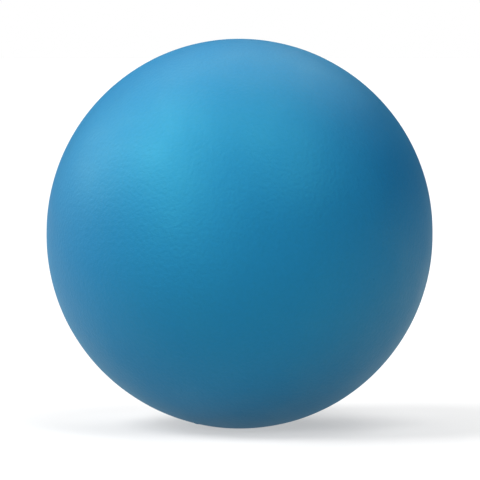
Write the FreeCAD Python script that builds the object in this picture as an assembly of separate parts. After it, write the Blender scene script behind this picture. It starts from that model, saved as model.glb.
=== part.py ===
import FreeCAD
import Part

import math
import os

# A foam stress ball, moulded in one shot of soft polyurethane in a two-part mould and painted.
# Where the foam meets the cold mould it sets as a dense skin, and inside it stays light and springy.
# The mould opens at the ball's widest ring, so the skin is drawn as an upper and a lower half, and
# the stub of the pour gate, cut off flush, leaves the small flat that the ball stands on.
#
# Millimetres, +Z up. The origin is the middle of that flat, on the surface the ball stands on.

# ---- driving dimensions -------------------------------------------------------------------------
BALL_DIAMETER = 63.0  # across the parting ring
PARTING_LAND = 0.6  # the straight ring that the two mould halves leave between the half balls
SKIN_THICKNESS = 1.2  # of the dense moulded skin
DOME_CLEARANCE = 0.05  # between the dome, which moves down in a squeeze, and the foam under it
RESTING_FLAT_DIAMETER = 7.0  # where the gate was cut flush
GATE_DIAMETER = 6.0  # of the stub inside that flat
GATE_ROOT_DEPTH = 0.6  # how far the stub goes past the skin, into the foam
GATE_CUT_CHAMFER = 0.15  # the knife's nick around the stub's face

# ---- sizes that follow from them ----------------------------------------------------------------
OUTER_RADIUS = BALL_DIAMETER / 2
INNER_RADIUS = OUTER_RADIUS - SKIN_THICKNESS
FLAT_RADIUS = RESTING_FLAT_DIAMETER / 2
GATE_RADIUS = GATE_DIAMETER / 2
LOWER_CENTRE = math.sqrt(OUTER_RADIUS**2 - FLAT_RADIUS**2)  # height of the lower half ball's centre
PARTING_HEIGHT = LOWER_CENTRE + PARTING_LAND / 2
UPPER_CENTRE = LOWER_CENTRE + PARTING_LAND
BALL_HEIGHT = UPPER_CENTRE + OUTER_RADIUS
GATE_STUB_HEIGHT = SKIN_THICKNESS + GATE_ROOT_DEPTH


def point(radius, height):
    """A point of a half section: so far from the ball's axis, and so high."""
    return FreeCAD.Vector(radius, 0, height)


def on_ball(centre_height, ball_radius, degrees):
    """The point of a round section at an angle above (or, if negative, below) its own centre."""
    angle = math.radians(degrees)
    return point(ball_radius * math.cos(angle), centre_height + ball_radius * math.sin(angle))


def line(start, end):
    return Part.LineSegment(start, end).toShape()


def ball_arc(start, end, centre_height, ball_radius):
    """The arc of a half ball's section from start to end, both of which lie on it."""
    angles = [math.degrees(math.atan2(p.z - centre_height, p.x)) for p in (start, end)]
    middle = on_ball(centre_height, ball_radius, sum(angles) / 2)
    return Part.Arc(start, middle, end).toShape()


def turned(edges):
    """The solid that a closed half section sweeps in a full turn about the ball's axis."""
    section = Part.Face(Part.Wire(edges))
    return section.revolve(FreeCAD.Vector(0, 0, 0), FreeCAD.Vector(0, 0, 1), 360)


def height_on_lower_ball(ball_radius, radius):
    """How high the lower half ball of that radius is, at this distance from the axis."""
    return LOWER_CENTRE - math.sqrt(ball_radius**2 - radius**2)


def skin_upper():
    """The dome that the upper mould half shapes, from the parting plane to the top."""
    rim_out = point(OUTER_RADIUS, PARTING_HEIGHT)
    rim_in = point(INNER_RADIUS, PARTING_HEIGHT)
    shoulder_out = point(OUTER_RADIUS, UPPER_CENTRE)
    shoulder_in = point(INNER_RADIUS, UPPER_CENTRE)
    top_out = point(0, UPPER_CENTRE + OUTER_RADIUS)
    top_in = point(0, UPPER_CENTRE + INNER_RADIUS)
    return turned([
        line(rim_in, rim_out),
        line(rim_out, shoulder_out),
        ball_arc(shoulder_out, top_out, UPPER_CENTRE, OUTER_RADIUS),
        line(top_out, top_in),
        ball_arc(top_in, shoulder_in, UPPER_CENTRE, INNER_RADIUS),
        line(shoulder_in, rim_in),
    ])


def skin_lower():
    """The bowl that the lower mould half shapes, with the resting flat and the hole of the gate."""
    rim_out = point(OUTER_RADIUS, PARTING_HEIGHT)
    rim_in = point(INNER_RADIUS, PARTING_HEIGHT)
    shoulder_out = point(OUTER_RADIUS, LOWER_CENTRE)
    shoulder_in = point(INNER_RADIUS, LOWER_CENTRE)
    flat_edge = point(FLAT_RADIUS, 0)
    gate_edge = point(GATE_RADIUS, 0)
    gate_inside = point(GATE_RADIUS, height_on_lower_ball(INNER_RADIUS, GATE_RADIUS))
    return turned([
        line(rim_in, rim_out),
        line(rim_out, shoulder_out),
        ball_arc(shoulder_out, flat_edge, LOWER_CENTRE, OUTER_RADIUS),
        line(flat_edge, gate_edge),
        line(gate_edge, gate_inside),
        ball_arc(gate_inside, shoulder_in, LOWER_CENTRE, INNER_RADIUS),
        line(shoulder_in, rim_in),
    ])


def gate_stub():
    """The cut-off end of the foam that filled the pour gate: a short plug with a nicked edge."""
    return turned([
        line(point(0, 0), point(GATE_RADIUS - GATE_CUT_CHAMFER, 0)),
        line(point(GATE_RADIUS - GATE_CUT_CHAMFER, 0), point(GATE_RADIUS, GATE_CUT_CHAMFER)),
        line(point(GATE_RADIUS, GATE_CUT_CHAMFER), point(GATE_RADIUS, GATE_STUB_HEIGHT)),
        line(point(GATE_RADIUS, GATE_STUB_HEIGHT), point(0, GATE_STUB_HEIGHT)),
        line(point(0, GATE_STUB_HEIGHT), point(0, 0)),
    ])


def foam_core():
    """The springy foam that fills the skin, with a pocket for the root of the gate stub."""
    dome_radius = INNER_RADIUS - DOME_CLEARANCE
    shoulder_low = point(INNER_RADIUS, LOWER_CENTRE)
    step_out = point(INNER_RADIUS, PARTING_HEIGHT - DOME_CLEARANCE)
    step_in = point(dome_radius, PARTING_HEIGHT - DOME_CLEARANCE)
    shoulder_high = point(dome_radius, UPPER_CENTRE)
    top = point(0, UPPER_CENTRE + dome_radius)
    pocket_top = point(0, GATE_STUB_HEIGHT)
    pocket_corner = point(GATE_RADIUS, GATE_STUB_HEIGHT)
    pocket_mouth = point(GATE_RADIUS, height_on_lower_ball(INNER_RADIUS, GATE_RADIUS))
    return turned([
        line(pocket_top, pocket_corner),
        line(pocket_corner, pocket_mouth),
        ball_arc(pocket_mouth, shoulder_low, LOWER_CENTRE, INNER_RADIUS),
        line(shoulder_low, step_out),
        line(step_out, step_in),
        line(step_in, shoulder_high),
        ball_arc(shoulder_high, top, UPPER_CENTRE, dome_radius),
        line(top, pocket_top),
    ])


os.makedirs("parts", exist_ok=True)
for make in (skin_upper, skin_lower, foam_core, gate_stub):
    solid = make()
    solid.exportStep(f"parts/{make.__name__}.step")
    box = solid.BoundBox
    print(
        f"{make.__name__}: valid {solid.isValid()}, {solid.Volume / 1000:.2f} cm3,"
        f" {box.XLength:.2f} x {box.YLength:.2f} x {box.ZLength:.2f} mm"
    )
print(f"the ball stands {BALL_HEIGHT:.2f} mm high on a flat {RESTING_FLAT_DIAMETER:g} mm across")
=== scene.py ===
# %% [markdown]
# # A foam stress ball
# The ball is one moulding of soft polyurethane foam. Where the foam touched the cold mould it set
# as a dense, smooth skin, and inside it is light and springy. It was then sprayed matte blue.
# Almost everything that the eye gets from such a plain thing is shape, finish and light: a ball
# that is very nearly but not quite round, a skin with a fine eggshell grain, and a broad, soft
# highlight. This lesson makes those three things, around the CAD frame that sets every size.

# %% Load the frame
import math

import bmesh
import bpy
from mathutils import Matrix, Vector, noise


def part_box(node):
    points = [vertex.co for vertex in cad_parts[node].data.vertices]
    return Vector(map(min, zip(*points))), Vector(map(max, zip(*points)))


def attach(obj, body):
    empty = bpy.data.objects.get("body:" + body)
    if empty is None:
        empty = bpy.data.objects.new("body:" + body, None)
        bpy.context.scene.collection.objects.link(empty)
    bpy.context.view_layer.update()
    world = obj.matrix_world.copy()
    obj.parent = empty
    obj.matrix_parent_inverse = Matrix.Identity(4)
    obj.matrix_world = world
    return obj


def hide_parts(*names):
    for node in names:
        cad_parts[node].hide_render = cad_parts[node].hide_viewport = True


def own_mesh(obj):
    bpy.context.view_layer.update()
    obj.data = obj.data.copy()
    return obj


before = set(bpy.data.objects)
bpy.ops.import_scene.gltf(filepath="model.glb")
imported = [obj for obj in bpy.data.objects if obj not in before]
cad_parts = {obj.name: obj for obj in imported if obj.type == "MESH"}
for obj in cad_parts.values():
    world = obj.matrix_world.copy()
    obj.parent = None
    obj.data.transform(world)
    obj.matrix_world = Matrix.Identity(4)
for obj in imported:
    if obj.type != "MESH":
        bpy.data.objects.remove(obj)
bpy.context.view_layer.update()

# %% [markdown]
# ## Sizes
# No size is typed in twice. The CAD nodes are already in the scene, so their boxes give the ball's
# radius, the plane where the mould opened, and the size of the gate stub. The mould's two halves
# closed a little apart, which leaves a straight ring, the land, between two half balls, so each
# half has a centre of its own. One line of Pythagoras gives the flat under the ball.

# %% Read the sizes
skin_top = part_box("skin_upper")[1].z
parting_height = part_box("skin_upper")[0].z
outer_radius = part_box("skin_upper")[1].x
inner_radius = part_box("foam_core")[1].x
gate_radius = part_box("gate_stub")[1].x
gate_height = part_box("gate_stub")[1].z

upper_centre = skin_top - outer_radius
lower_centre = 2 * parting_height - upper_centre
flat_radius = math.sqrt(outer_radius**2 - lower_centre**2)
middle = Vector((0, 0, skin_top / 2))
print(f"skin {1000 * (outer_radius - inner_radius):.2f} mm thick,", end=" ")
print(f"land {1000 * (upper_centre - lower_centre):.2f} mm, flat {2000 * flat_radius:.2f} mm across")

# %% [markdown]
# ## Camera
# A product picture of a ball is taken from far away with a long lens, almost level with it, so the
# floor is only a sliver. For a ball there is an exact rule for the lens: its outline is seen at
# the angle whose sine is radius over distance, and that angle has to fill the wanted share of the
# frame. The camera looks at a point a little under the ball's middle, which lifts the ball in the
# frame and leaves room for its shadow.

# %% Set up the camera
VIEW_DISTANCE = 0.75
VIEW_ELEVATION = math.radians(3.4)
BALL_SHARE_OF_FRAME = 0.8044
AIM_BELOW_MIDDLE = 0.00113
AIM_RIGHT_OF_MIDDLE = 0.00007
NEAREST_SEEN = 0.01

aim = middle + Vector((AIM_RIGHT_OF_MIDDLE, 0, -AIM_BELOW_MIDDLE))
towards_camera = Vector((0, -math.cos(VIEW_ELEVATION), math.sin(VIEW_ELEVATION)))
camera = bpy.data.objects.new("camera", bpy.data.cameras.new("camera"))
bpy.context.scene.collection.objects.link(camera)
bpy.context.scene.camera = camera
camera.location = aim + towards_camera * VIEW_DISTANCE
camera.rotation_euler = (-towards_camera).to_track_quat("-Z", "Y").to_euler()
outline_slope = math.tan(math.asin(outer_radius / VIEW_DISTANCE))
camera.data.lens = BALL_SHARE_OF_FRAME * camera.data.sensor_width / 2 / outline_slope
camera.data.clip_start = NEAREST_SEEN
print(f"lens {camera.data.lens:.0f} mm at {VIEW_DISTANCE} m")

# %% [markdown]
# ## Studio
# The ball stands on a light table: a pale sheet lit from above and, faintly, from below. That
# keeps the floor white up to the ball's shadow, holds the shadow soft and light, and brings light
# up under the ball. Round the ball is nothing but its softboxes, because white walls would show
# in the satin paint as a milky rim; a Light Path node gives only the camera's own rays a white
# surround. A softbox could be an Area light, but that fades over the table and shows its edge. A
# Sun with a wide angle is a softbox so far away that the whole table gets the same light.

# %% Light table and surround
bpy.context.scene.view_settings.view_transform = "Standard"

TABLE_HALF = 3.0
TABLE_GREY = 0.282
TABLE_GLOW = 0.48
TABLE_ROUGHNESS = 0.9


def linked(obj):
    """Puts a new object in the scene and returns it."""
    bpy.context.scene.collection.objects.link(obj)
    return obj


def make_table():
    bm = bmesh.new()
    bmesh.ops.create_grid(bm, x_segments=1, y_segments=1, size=TABLE_HALF)
    mesh = bpy.data.meshes.new("light_table")
    bm.to_mesh(mesh)
    bm.free()
    material = bpy.data.materials.new("light_table")
    material.use_nodes = True
    shader = material.node_tree.nodes["Principled BSDF"]
    shader.inputs["Base Color"].default_value = (TABLE_GREY, TABLE_GREY, TABLE_GREY, 1)
    shader.inputs["Roughness"].default_value = TABLE_ROUGHNESS
    shader.inputs["Specular IOR Level"].default_value = 0.0
    shader.inputs["Emission Color"].default_value = (1, 1, 1, 1)
    shader.inputs["Emission Strength"].default_value = TABLE_GLOW
    mesh.materials.append(material)
    linked(bpy.data.objects.new("light_table", mesh))


def make_surround():
    world = bpy.data.worlds.new("surround")
    bpy.context.scene.world = world
    world.use_nodes = True
    nodes, links = world.node_tree.nodes, world.node_tree.links
    dark = nodes["Background"]
    dark.inputs["Strength"].default_value = 0.0
    white = nodes.new("ShaderNodeBackground")
    white.inputs["Color"].default_value = (1, 1, 1, 1)
    path = nodes.new("ShaderNodeLightPath")
    choose = nodes.new("ShaderNodeMixShader")
    links.new(path.outputs["Is Camera Ray"], choose.inputs["Fac"])
    links.new(dark.outputs["Background"], choose.inputs[1])
    links.new(white.outputs["Background"], choose.inputs[2])
    links.new(choose.outputs["Shader"], nodes["World Output"].inputs["Surface"])


make_table()
make_surround()
print(f"light table {2 * TABLE_HALF:.0f} m wide")

# %% Hang the softboxes
SOFTBOX_WIDTH = math.radians(30)  # the angle that each one fills, seen from the ball

# name: degrees round from the camera (positive to the right), degrees up, strength
SOFTBOXES = {
    "key": (-70, 50, 3.3),
    "side_left": (-112, 25, 1.5),
    "front_left": (-35, 20, 1.94),
    "top": (37, 68, 1.56),
    "front_right": (40, 40, 1.2),
    "back_left": (-153, 57, 0.95),
    "back_right": (155, 51, 0.9),
}


def hang_softbox(name, around, up, strength):
    light = bpy.data.lights.new(name, "SUN")
    light.angle = SOFTBOX_WIDTH
    light.energy = strength
    box = linked(bpy.data.objects.new(name, light))
    a, e = math.radians(around), math.radians(up)
    out = Vector((math.sin(a) * math.cos(e), -math.cos(a) * math.cos(e), math.sin(e)))
    box.location = middle + out
    box.rotation_euler = (-out).to_track_quat("-Z", "Y").to_euler()


for name, facts in SOFTBOXES.items():
    hang_softbox(name, *facts)
print(f"{len(SOFTBOXES)} softboxes")

# %% [markdown]
# ## Turning a shape
# A toolmaker turns both halves of a ball mould on a lathe, and the same way suits the mesh: draw
# half of a section, then spin it about the ball's axis. The section is drawn with operators too. A
# single point, spun about a centre, leaves an arc behind it, and a point that is extruded and
# moved leaves a line. A UV sphere would be quicker, but it has no flat, gate hole or land, and it
# cannot hold a wall with an inside.


# %% Draw and spin a section
def start_section(bm, radius, height):
    """The first point of a section: so far from the axis, and so high."""
    return bm.verts.new((radius, 0, height))


def draw_arc(bm, point, centre_height, degrees, steps):
    """Swings the last point about a centre on the axis; positive turns from the top outwards."""
    swung = bmesh.ops.spin(
        bm,
        geom=[point],
        cent=(0, 0, centre_height),
        axis=(0, 1, 0),
        angle=math.radians(degrees),
        steps=steps,
        use_merge=False,
        use_duplicate=False,
    )
    return next(v for v in swung["geom_last"] if isinstance(v, bmesh.types.BMVert))


def draw_line(bm, point, radius, height, steps=1):
    """Extrudes the last point in a straight line, in so many steps."""
    start, end = point.co.copy(), Vector((radius, 0, height))
    for step in range(1, steps + 1):
        made = bmesh.ops.extrude_vert_indiv(bm, verts=[point])
        point = made["verts"][0]
        point.co = start.lerp(end, step / steps)
    return point


def turn_section(bm, steps):
    """Spins the whole section once about the ball's axis and closes the seam and the poles."""
    bmesh.ops.spin(
        bm,
        geom=bm.verts[:] + bm.edges[:],
        cent=(0, 0, 0),
        axis=(0, 0, 1),
        angle=math.tau,
        steps=steps,
        use_merge=True,
        use_duplicate=False,
    )
    bmesh.ops.remove_doubles(bm, verts=bm.verts[:], dist=1e-7)
    bmesh.ops.recalc_face_normals(bm, faces=bm.faces[:])


def to_piece(bm, name, sharp_degrees=30):
    """Makes the finished mesh an object at the origin, smooth but for its sharp edges."""
    mesh = bpy.data.meshes.new(name)
    bm.to_mesh(mesh)
    bm.free()
    mesh.shade_smooth()
    mesh.set_sharp_from_angle(angle=math.radians(sharp_degrees))
    piece = linked(bpy.data.objects.new(name, mesh))
    triangles = sum(len(p.vertices) - 2 for p in mesh.polygons)
    print(f"{name}: {triangles} triangles")
    return piece

# %% [markdown]
# ## The moulded skin
# The skin is a closed wall, so its section is one loop: over the outside from the top, across the
# land, down to the flat, in to the gate hole, up its wall, and back over the inside. The outside
# gets short steps, because it carries the light, and the ring where the mould opened gets the
# shortest. The inside is never seen and gets long ones. Solidify could give the thickness too, but
# it would round over the flat and the gate hole.

# %% Draw the skin's section and turn it
TURN_STEPS = 320
DOME_STEPS = 100
LAND_STEPS = 8
FLAT_STEPS = 3
INSIDE_STEPS = 22


def make_skin():
    bm = bmesh.new()
    to_flat = 90 - math.degrees(math.asin(flat_radius / outer_radius))
    inside_flat_height = lower_centre - math.sqrt(inner_radius**2 - gate_radius**2)
    to_gate = 90 - math.degrees(math.asin(gate_radius / inner_radius))
    point = start_section(bm, 0, skin_top)
    point = draw_arc(bm, point, upper_centre, 90, DOME_STEPS)
    point = draw_line(bm, point, outer_radius, lower_centre, LAND_STEPS)
    point = draw_arc(bm, point, lower_centre, to_flat, DOME_STEPS)
    point = draw_line(bm, point, gate_radius, 0, FLAT_STEPS)
    point = draw_line(bm, point, gate_radius, inside_flat_height, FLAT_STEPS)
    point = draw_arc(bm, point, lower_centre, -to_gate, INSIDE_STEPS)
    point = draw_line(bm, point, inner_radius, upper_centre)
    draw_arc(bm, point, upper_centre, -90, INSIDE_STEPS)
    turn_section(bm, TURN_STEPS)
    return bm


skin_mesh = make_skin()
closed = all(edge.is_manifold for edge in skin_mesh.edges)
print(f"skin: {len(skin_mesh.verts)} points, closed: {closed}")

# %% [markdown]
# ## What the mould and the foam leave on it
# A turned section is too perfect. Foam shrinks a little as it cools, so the ball is out of round
# by some hundredths of a millimetre, and its surface has faint, wide waves. A thread of
# foam creeps into the joint of the mould and is rubbed off, which leaves a low witness ring.
# Beside the gate, two vent holes leave low pips. All of it is real shape, moved point by point
# along the surface, because light slides over it in a way that bump alone does not give. It fades
# out towards the flat, so that the ball still stands true.

# %% Shape the skin's surface
OUT_OF_ROUND = 0.00005
OUT_OF_ROUND_WIDTH = 0.03
SINK_WAVE = 0.000009
SINK_WAVE_WIDTH = 0.0045
SINK_WAVE_SHIFT = Vector((7, 3, 5))  # so that the two patterns don't line up
WITNESS_HEIGHT = 0.000006
WITNESS_HALF_WIDTH = 0.0002
WITNESS_LEFT = (0.7, 0.6)  # the share that the rubbing left, and how far that varies
VENT_RADIUS = 0.0006
VENT_HEIGHT = 0.00012
VENT_DISTANCE = 0.0085  # from the ball's axis
VENT_DIRECTIONS = (35, 215)  # degrees round the axis
FADE_HEIGHT = 0.0012  # above the floor, over which the relief grows to its full height


def smooth_step(value):
    held = min(max(value, 0), 1)
    return held * held * (3 - 2 * held)


def outward(point):
    """The direction straight out of the ball at a point on or near its outside."""
    centre_height = min(max(point.z, lower_centre), upper_centre)
    return (point - Vector((0, 0, centre_height))).normalized()


def on_outside(point):
    centre_height = min(max(point.z, lower_centre), upper_centre)
    return (point - Vector((0, 0, centre_height))).length > (outer_radius + inner_radius) / 2


def vent_pips(point):
    """Height of the pips at a point on the lower half."""
    height = 0
    for degrees in VENT_DIRECTIONS:
        turn = math.radians(degrees)
        vent = Vector((math.cos(turn), math.sin(turn))) * VENT_DISTANCE
        share = (VENT_RADIUS - (point.xy - vent).length) / VENT_RADIUS
        height += VENT_HEIGHT * smooth_step(2 * share)
    return height


def relief(point):
    """How far the surface stands out of the true shape at a point."""
    out = OUT_OF_ROUND * noise.noise(point / OUT_OF_ROUND_WIDTH)
    out += SINK_WAVE * noise.noise(point / SINK_WAVE_WIDTH + SINK_WAVE_SHIFT)
    across = (point.z - parting_height) / WITNESS_HALF_WIDTH
    share, swing = WITNESS_LEFT
    left = share + swing * noise.noise(Vector((point.x, point.y, 0)) / SINK_WAVE_WIDTH)
    out += WITNESS_HEIGHT * left * math.exp(-across * across)
    if point.z < lower_centre:
        out += vent_pips(point)
    return out * smooth_step(point.z / FADE_HEIGHT)


for vert in skin_mesh.verts:
    if vert.co.z > 0 and on_outside(vert.co):
        vert.co += outward(vert.co) * relief(vert.co)
skin = to_piece(skin_mesh, "moulded_skin")

# %% [markdown]
# ## The stub of the pour gate
# The foam that filled the mould came in through this hole and was cut off flush with a knife. The
# stub is turned like the skin, with a nick around its face. The knife drags the soft foam, which
# leaves faint ridges side by side, and it opens some bubbles, so the face has small pits. The
# stub stands on its face, so every mark goes up into it and none comes down.

# %% Turn the stub and mark its face
STUB_TURN_STEPS = 96
FACE_STEPS = 26
NICK = 0.00015
KNIFE_RIDGE = 0.00003
KNIFE_RIDGE_WIDTH = 0.00045
KNIFE_RIDGE_STRETCH = 9  # how many times longer than wide
BUBBLE_WIDTH = 0.0007
BUBBLE_DEPTH = 0.00016
BUBBLE_SHARE = 0.45  # of the space between bubbles
FIT_GAP = 0.00002  # between the stub and the skin's hole


def make_stub():
    bm = bmesh.new()
    radius = gate_radius - FIT_GAP
    point = start_section(bm, 0, 0)
    point = draw_line(bm, point, radius - NICK, 0, FACE_STEPS)
    point = draw_line(bm, point, radius, NICK, 2)
    point = draw_line(bm, point, radius, gate_height - NICK, 4)
    point = draw_line(bm, point, radius - NICK, gate_height, 2)
    draw_line(bm, point, 0, gate_height, 5)
    turn_section(bm, STUB_TURN_STEPS)
    return bm


def knife_mark(point):
    """How deep the cut face is marked at a point."""
    along = point.y / KNIFE_RIDGE_WIDTH / KNIFE_RIDGE_STRETCH
    stretched = Vector((point.x / KNIFE_RIDGE_WIDTH, along, 0))
    ridge = KNIFE_RIDGE * (0.5 + 0.5 * noise.noise(stretched))
    nearest = noise.voronoi(point / BUBBLE_WIDTH)[0][0]
    return ridge + BUBBLE_DEPTH * smooth_step(1 - nearest / BUBBLE_SHARE)


stub_mesh = make_stub()
for vert in stub_mesh.verts:
    if vert.co.z < 1e-7 and vert.co.length < gate_radius - 2 * NICK:
        vert.co.z += knife_mark(vert.co)
stub = to_piece(stub_mesh, "cut_gate_stub", sharp_degrees=40)

# %% [markdown]
# ## The core of springy foam
# The core fills the skin. It is never seen in one piece, but it is what gives, so it is made as
# what it is: foam, whose outer cells are open hollows. Sculpting thousands of hollows by hand is
# hopeless, and a Displace modifier would do it, but a cell pattern read at each point keeps the
# hollows on the inside of the true shape, so that the core never pokes through its skin.

# %% Turn the core and open its cells
CORE_TURN_STEPS = 220
CORE_ARC_STEPS = 90
CORE_GAP = 0.00006
CELL_WIDTH = 0.0032
CELL_DEPTH = 0.0005
CELL_WALL_STEEPNESS = 1.6
POCKET_MARGIN = 1.5  # gate radii from the axis within which the foam stays plain


def make_core():
    bm = bmesh.new()
    radius = inner_radius - CORE_GAP
    pocket = gate_radius + CORE_GAP
    mouth_height = lower_centre - math.sqrt(radius**2 - pocket**2)
    to_pocket = 90 - math.degrees(math.asin(pocket / radius))
    point = start_section(bm, 0, upper_centre + radius)
    point = draw_arc(bm, point, upper_centre, 90, CORE_ARC_STEPS)
    point = draw_line(bm, point, radius, lower_centre, 2)
    point = draw_arc(bm, point, lower_centre, to_pocket, CORE_ARC_STEPS)
    point = draw_line(bm, point, pocket, max(mouth_height, gate_height) + CORE_GAP, 3)
    draw_line(bm, point, 0, gate_height + CORE_GAP, 6)
    turn_section(bm, CORE_TURN_STEPS)
    return bm


core_mesh = make_core()
for vert in core_mesh.verts:
    if vert.co.xy.length > POCKET_MARGIN * gate_radius or vert.co.z > middle.z:
        near, next_near = noise.voronoi(vert.co / CELL_WIDTH)[0][:2]
        hollow = smooth_step((next_near - near) * CELL_WALL_STEEPNESS)
        vert.co -= outward(vert.co) * CELL_DEPTH * hollow
core = to_piece(core_mesh, "springy_core", sharp_degrees=80)

# %% [markdown]
# ## Effects that the finishes share
# Three effects turn up on more than one piece, so each is a node group, built once and placed in
# each material with its own values. Eggshell grain is the fine pebble of foam skin and sprayed
# paint. Mottle is how paint and foam vary a little in colour from place to place. Pinholes are the
# bubbles that broke at the surface, some on a painted skin and crowds of them on a cut face. All
# of them read the piece's own Object coordinates, so they stay put when it turns, and all sizes
# are in metres, like the pieces.


# %% Node helpers
def feed(tree, socket, value):
    """Gives an input a plain value, or links the output that feeds it."""
    if isinstance(value, bpy.types.NodeSocket):
        tree.links.new(value, socket)
    else:
        socket.default_value = value


def add_node(tree, kind, inputs, **settings):
    """Adds a node, with its settings and its inputs by name or number."""
    node = tree.nodes.new(kind)
    for name, value in settings.items():
        setattr(node, name, value)
    for key, value in inputs.items():
        feed(tree, node.inputs[key], value)
    return node


def maths(tree, operation, *values):
    """A Math node's result, for a sum, product or comparison of values and sockets."""
    return add_node(tree, "ShaderNodeMath", dict(enumerate(values)), operation=operation).outputs[0]


def fading(tree, value, start, end, low, high):
    """A value carried smoothly from one range to another."""
    ends = {"Value": value, "From Min": start, "From Max": end, "To Min": low, "To Max": high}
    return add_node(tree, "ShaderNodeMapRange", ends, interpolation_type="SMOOTHSTEP").outputs["Result"]


def cloud(tree, position, per_metre, detail):
    """Soft noise from 0 to 1, with so many clouds to the metre."""
    inputs = {"Vector": position, "Scale": per_metre, "Detail": detail}
    return add_node(tree, "ShaderNodeTexNoise", inputs).outputs["Fac"]


def mixed(tree, share, first, second, kind="RGBA"):
    """Two colours, or two numbers if kind is FLOAT, blended by share from first to second."""
    node = add_node(tree, "ShaderNodeMix", {}, data_type=kind)
    shown = [socket for socket in node.inputs if socket.enabled]
    for socket, value in zip(shown, (share, first, second)):
        feed(tree, socket, value)
    return next(socket for socket in node.outputs if socket.enabled)


def start_group(name, inputs, outputs):
    """A new node group with named sockets: its tree, its inside inputs, and its output node."""
    tree = bpy.data.node_groups.new(name, "ShaderNodeTree")
    for socket, kind in inputs.items():
        tree.interface.new_socket(socket, in_out="INPUT", socket_type=kind)
    for socket, kind in outputs.items():
        tree.interface.new_socket(socket, in_out="OUTPUT", socket_type=kind)
    return tree, tree.nodes.new("NodeGroupInput").outputs, tree.nodes.new("NodeGroupOutput")


# %% Build the three groups
FINE_PER_PEBBLE = 3.1
FLECKS_PER_CLOUD = 17.0
HUE_SHARE = 0.015  # how much of a swing in brightness turns the hue
NOISE_MIDDLE = 0.5
HUE_UNTURNED = 0.5
SMALLEST_HOLE = 0.5  # as a share of the usual one


def build_eggshell_grain():
    """Height of a fine pebble with a finer one on it, from 0 to 1."""
    tree, given, out = start_group(
        "eggshell_grain",
        {
            "Position": "NodeSocketVector",
            "Pebbles per Metre": "NodeSocketFloat",
            "Fine Share": "NodeSocketFloat",
        },
        {"Height": "NodeSocketFloat"},
    )
    coarse = cloud(tree, given["Position"], given["Pebbles per Metre"], detail=1.0)
    finer = maths(tree, "MULTIPLY", given["Pebbles per Metre"], FINE_PER_PEBBLE)
    fine = cloud(tree, given["Position"], finer, detail=2.0)
    height = mixed(tree, given["Fine Share"], coarse, fine, "FLOAT")
    tree.links.new(height, out.inputs["Height"])
    return tree


def build_mottle():
    """A colour that varies in slow clouds and fine flecks, and the clouds as a mask."""
    tree, given, out = start_group(
        "mottle",
        {
            "Position": "NodeSocketVector",
            "Colour": "NodeSocketColor",
            "Clouds per Metre": "NodeSocketFloat",
            "Cloud Amount": "NodeSocketFloat",
            "Fleck Amount": "NodeSocketFloat",
        },
        {"Colour": "NodeSocketColor", "Clouds": "NodeSocketFloat"},
    )
    clouds = cloud(tree, given["Position"], given["Clouds per Metre"], detail=3.0)
    flecks_per_metre = maths(tree, "MULTIPLY", given["Clouds per Metre"], FLECKS_PER_CLOUD)
    flecks = cloud(tree, given["Position"], flecks_per_metre, detail=2.0)
    clouds_off = maths(tree, "SUBTRACT", clouds, NOISE_MIDDLE)
    flecks_off = maths(tree, "SUBTRACT", flecks, NOISE_MIDDLE)
    slow = maths(tree, "MULTIPLY", clouds_off, given["Cloud Amount"])
    fast = maths(tree, "MULTIPLY", flecks_off, given["Fleck Amount"])
    swing = maths(tree, "ADD", slow, fast)
    shade = maths(tree, "ADD", 1.0, swing)
    hue = maths(tree, "ADD", HUE_UNTURNED, maths(tree, "MULTIPLY", swing, HUE_SHARE))
    tint = {"Hue": hue, "Value": shade, "Color": given["Colour"]}
    shifted = add_node(tree, "ShaderNodeHueSaturation", tint)
    tree.links.new(shifted.outputs["Color"], out.inputs["Colour"])
    tree.links.new(clouds, out.inputs["Clouds"])
    return tree


def build_pinholes():
    """A mask that is 1 inside small round holes, scattered one to a cell, in a share of the cells."""
    tree, given, out = start_group(
        "pinholes",
        {
            "Position": "NodeSocketVector",
            "Cells per Metre": "NodeSocketFloat",
            "Hole Share of Cell": "NodeSocketFloat",
            "Share of Cells": "NodeSocketFloat",
        },
        {"Mask": "NodeSocketFloat"},
    )
    cells = {"Vector": given["Position"], "Scale": given["Cells per Metre"]}
    voronoi = add_node(tree, "ShaderNodeTexVoronoi", cells)
    lot = add_node(tree, "ShaderNodeSeparateColor", {"Color": voronoi.outputs["Color"]})
    chance = maths(tree, "ADD", SMALLEST_HOLE, lot.outputs["Green"])
    size = maths(tree, "MULTIPLY", given["Hole Share of Cell"], chance)
    depth = fading(tree, voronoi.outputs["Distance"], 0.0, size, 1.0, 0.0)
    drawn = maths(tree, "LESS_THAN", lot.outputs["Red"], given["Share of Cells"])
    tree.links.new(maths(tree, "MULTIPLY", depth, drawn), out.inputs["Mask"])
    return tree


grain_group = build_eggshell_grain()
mottle_group = build_mottle()
pinhole_group = build_pinholes()
print("groups:", ", ".join(group.name for group in bpy.data.node_groups))


def place_group(tree, group, position, *values):
    """Puts a group in a material with its own values, and returns its outputs."""
    node = add_node(tree, "ShaderNodeGroup", {}, node_tree=group)
    for socket, value in zip(node.inputs, (position, *values)):
        feed(tree, socket, value)
    return node.outputs


def start_material(name):
    """A new material: its tree, its Principled shader, and the piece's own coordinates."""
    material = bpy.data.materials.new(name)
    material.use_nodes = True
    tree = material.node_tree
    position = tree.nodes.new("ShaderNodeTexCoord").outputs["Object"]
    return material, tree, tree.nodes["Principled BSDF"], position


CLOUD_RANGE = (0.3, 0.7)  # where the clouds' values mostly lie


def roughness_by_clouds(tree, clouds, smoothest, roughest):
    """Roughness that follows the mottle's clouds."""
    return fading(tree, clouds, *CLOUD_RANGE, smoothest, roughest)


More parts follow.
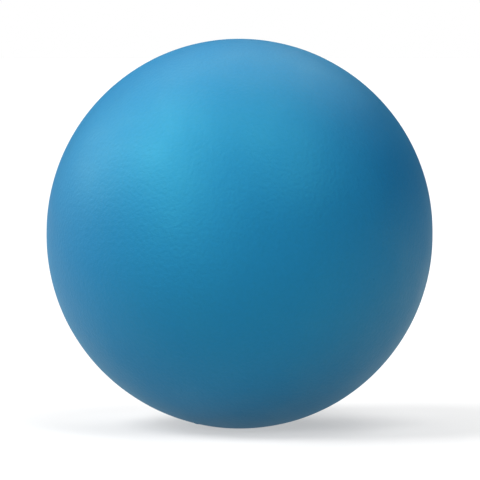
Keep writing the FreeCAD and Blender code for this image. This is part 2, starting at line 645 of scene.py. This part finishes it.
def bumped(tree, height, depth, under=None):
    """A normal for relief of so many metres, laid over another normal if one is given."""
    inputs = {"Strength": 1.0, "Distance": depth, "Height": height}
    if under is not None:
        inputs["Normal"] = under
    return add_node(tree, "ShaderNodeBump", inputs).outputs["Normal"]


def feed_relief(tree, shader, grain, grain_depth, holes, hole_depth):
    """Lays the holes over the grain and feeds both to the shader's Normal."""
    sunk = maths(tree, "SUBTRACT", 1.0, holes)
    grainy = bumped(tree, grain, grain_depth)
    feed(tree, shader.inputs["Normal"], bumped(tree, sunk, hole_depth, grainy))


def finish_piece(piece, material):
    """Gives a piece its material and prints it."""
    piece.data.materials.append(material)
    print(f"{piece.name}: {material.name}, {len(material.node_tree.nodes)} nodes")


# %% [markdown]
# ## Sprayed blue paint
# The paint is matte and strongly coloured. Its highlight is broad, and it is not white but a pale blue,
# because light enters the rough paint and meets pigment before it comes back, which Specular Tint
# gives. The grain sits in the bump, with a pebble of about half a millimetre. A few pinholes break it,
# and inside them the colour goes part way to a darker blue, a painted shade in the pits. The colour
# moves by a few hundredths only: more would look dirty.

# %% Paint the skin
PAINT_BLUE = (0.0, 0.07, 0.191, 1)
# a darker blue for inside the pinholes: painted shade in the pits
PINHOLE_SHADE_BLUE = (0.0, 0.05, 0.13, 1)
HIGHLIGHT_TINT = (0.15, 1.0, 1.0, 1)
PAINT_ROUGHNESS = 0.6
ROUGHNESS_SWING = 0.03
PAINT_CLOUDS = (110.0, 0.07, 0.2)  # per metre, cloud amount, fleck amount
PAINT_PINHOLES = (240.0, 0.05, 0.25)  # cells per metre, hole share of cell, share of cells
PAINT_GRAIN = (1700.0, 0.3)  # pebbles per metre, fine share
GRAIN_DEPTH = 0.00007
PINHOLE_DEPTH = 0.00002
PINHOLE_SHADE_SHARE = 0.5  # how far the colour goes to the darker blue in a pinhole, a painted shade
PINHOLE_ROUGHER = 0.2


def paint_skin():
    material, tree, shader, position = start_material("sprayed_blue_paint")
    mottle = place_group(tree, mottle_group, position, PAINT_BLUE, *PAINT_CLOUDS)
    holes = place_group(tree, pinhole_group, position, *PAINT_PINHOLES)["Mask"]
    grain = place_group(tree, grain_group, position, *PAINT_GRAIN)["Height"]
    # painted shade: inside the pinholes the colour goes part way to a darker blue
    colour = mixed(tree, maths(tree, "MULTIPLY", holes, PINHOLE_SHADE_SHARE), mottle["Colour"], PINHOLE_SHADE_BLUE)
    smoothest = PAINT_ROUGHNESS - ROUGHNESS_SWING
    roughest = PAINT_ROUGHNESS + ROUGHNESS_SWING
    rough = roughness_by_clouds(tree, mottle["Clouds"], smoothest, roughest)
    rougher = maths(tree, "ADD", rough, maths(tree, "MULTIPLY", holes, PINHOLE_ROUGHER))
    feed(tree, shader.inputs["Base Color"], colour)
    feed(tree, shader.inputs["Roughness"], rougher)
    feed_relief(tree, shader, grain, GRAIN_DEPTH, holes, PINHOLE_DEPTH)
    shader.inputs["Specular IOR Level"].default_value = 1.0
    shader.inputs["Specular Tint"].default_value = HIGHLIGHT_TINT
    return material


finish_piece(skin, paint_skin())

# %% [markdown]
# ## The cut face
# The stub was sprayed with the rest, but the cut opened its bubbles, and paint goes thinly over an open
# bubble. So it takes the same three effects with other values: coarser grain, stronger mottle and far
# more pinholes. The open bubbles are coloured a darker, greyer blue: painted shade in the bubbles, and
# the thinner paint.

# %% Finish the stub
CUT_BLUE = (0.004, 0.13, 0.27, 1)
# a darker, greyer blue for the open bubbles: painted shade, and thin paint
CUT_BUBBLE_SHADE = (0.03, 0.12, 0.18, 1)
CUT_ROUGHNESS = (0.7, 0.85)  # smoothest, roughest
CUT_CLOUDS = (500.0, 0.25, 0.25)
CUT_PINHOLES = (2600.0, 0.3, 0.6)
CUT_GRAIN = (4000.0, 0.5)
CUT_GRAIN_DEPTH = 0.000015
CUT_PINHOLE_DEPTH = 0.00005


def finish_cut():
    material, tree, shader, position = start_material("painted_cut_foam")
    mottle = place_group(tree, mottle_group, position, CUT_BLUE, *CUT_CLOUDS)
    holes = place_group(tree, pinhole_group, position, *CUT_PINHOLES)["Mask"]
    grain = place_group(tree, grain_group, position, *CUT_GRAIN)["Height"]
    # painted shade: the open bubbles take a darker, greyer blue
    feed(tree, shader.inputs["Base Color"], mixed(tree, holes, mottle["Colour"], CUT_BUBBLE_SHADE))
    rough = roughness_by_clouds(tree, mottle["Clouds"], *CUT_ROUGHNESS)
    feed(tree, shader.inputs["Roughness"], rough)
    feed_relief(tree, shader, grain, CUT_GRAIN_DEPTH, holes, CUT_PINHOLE_DEPTH)
    return material


finish_piece(stub, finish_cut())

# %% [markdown]
# ## Core foam
# Unpainted foam is cream, and light goes some way into it, so it has a little Subsurface. Its hollows
# are real shape already. The smaller bubbles in their walls are pinholes again, packed close, and their
# colour is a darker cream: painted shade in the bubbles.

# %% Finish the core
FOAM_CREAM = (0.72, 0.64, 0.47, 1)
# a darker cream for inside the bubbles: painted shade
FOAM_SHADE = (0.42, 0.34, 0.2, 1)
FOAM_ROUGHNESS = (0.85, 0.98)  # smoothest, roughest
FOAM_CLOUDS = (90.0, 0.12, 0.12)
FOAM_PINHOLES = (1800.0, 0.5, 0.9)
FOAM_GRAIN = (3000.0, 0.5)
FOAM_GRAIN_DEPTH = 0.00003
FOAM_PINHOLE_DEPTH = 0.0001
FOAM_SCATTER = 0.15
FOAM_SCATTER_DEPTH = 0.001


def finish_core():
    material, tree, shader, position = start_material("cream_core_foam")
    mottle = place_group(tree, mottle_group, position, FOAM_CREAM, *FOAM_CLOUDS)
    holes = place_group(tree, pinhole_group, position, *FOAM_PINHOLES)["Mask"]
    grain = place_group(tree, grain_group, position, *FOAM_GRAIN)["Height"]
    # painted shade: the bubbles take a darker cream
    feed(tree, shader.inputs["Base Color"], mixed(tree, holes, mottle["Colour"], FOAM_SHADE))
    rough = roughness_by_clouds(tree, mottle["Clouds"], *FOAM_ROUGHNESS)
    feed(tree, shader.inputs["Roughness"], rough)
    feed_relief(tree, shader, grain, FOAM_GRAIN_DEPTH, holes, FOAM_PINHOLE_DEPTH)
    shader.inputs["Subsurface Weight"].default_value = FOAM_SCATTER
    shader.inputs["Subsurface Scale"].default_value = FOAM_SCATTER_DEPTH
    return material


finish_piece(core, finish_core())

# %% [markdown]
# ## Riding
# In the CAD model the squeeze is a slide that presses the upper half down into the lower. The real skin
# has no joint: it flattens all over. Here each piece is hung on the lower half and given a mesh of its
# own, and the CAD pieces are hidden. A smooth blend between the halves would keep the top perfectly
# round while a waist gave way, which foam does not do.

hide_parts("skin_upper", "skin_lower")
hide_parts("gate_stub")
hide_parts("foam_core")
for piece, slot in ((skin, "painted_skin"), (stub, "cut_foam"), (core, "core_foam")):
    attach(piece, "lower_half")
    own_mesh(piece)
